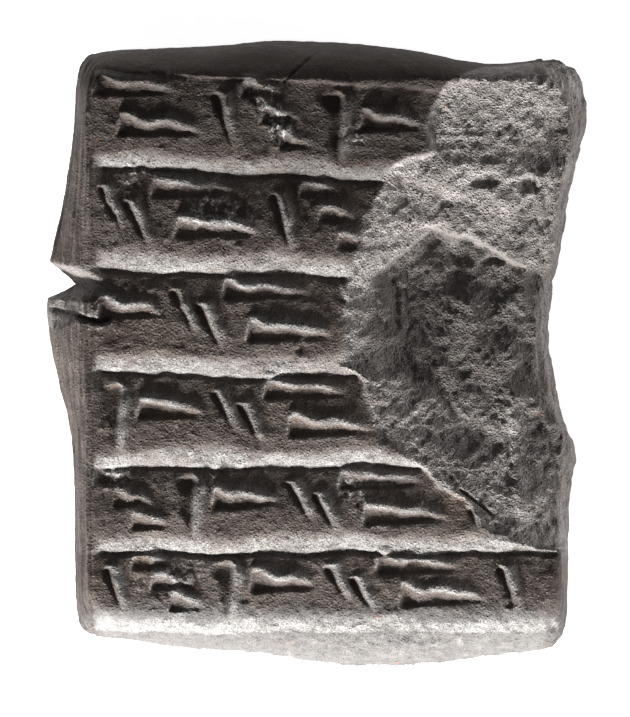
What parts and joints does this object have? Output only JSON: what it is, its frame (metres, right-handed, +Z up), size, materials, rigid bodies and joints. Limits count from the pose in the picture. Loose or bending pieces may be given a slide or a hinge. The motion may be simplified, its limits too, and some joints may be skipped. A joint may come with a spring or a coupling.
{
  "type": "cuneiform tablet",
  "caption": "Small pillow-shaped writing tablet of dark clay, ruled into rows of shallow wedge strokes, with a large flaked break and a chipped edge",
  "frame": {"origin": "bottom centre of the bounding box, on the flat resting spot of the back", "axes": "+Z up out of the written face, the thin way through the tablet; +Y along its length towards the first row; +X to the reader's right"},
  "size_m": [0.0378, 0.0438, 0.0154],
  "materials": {
    "clay": "matt dark clay, grey where it is broken"
  },
  "bodies": {
    "root": {"clay_tablet": "clay"}
  },
  "joints": []
}
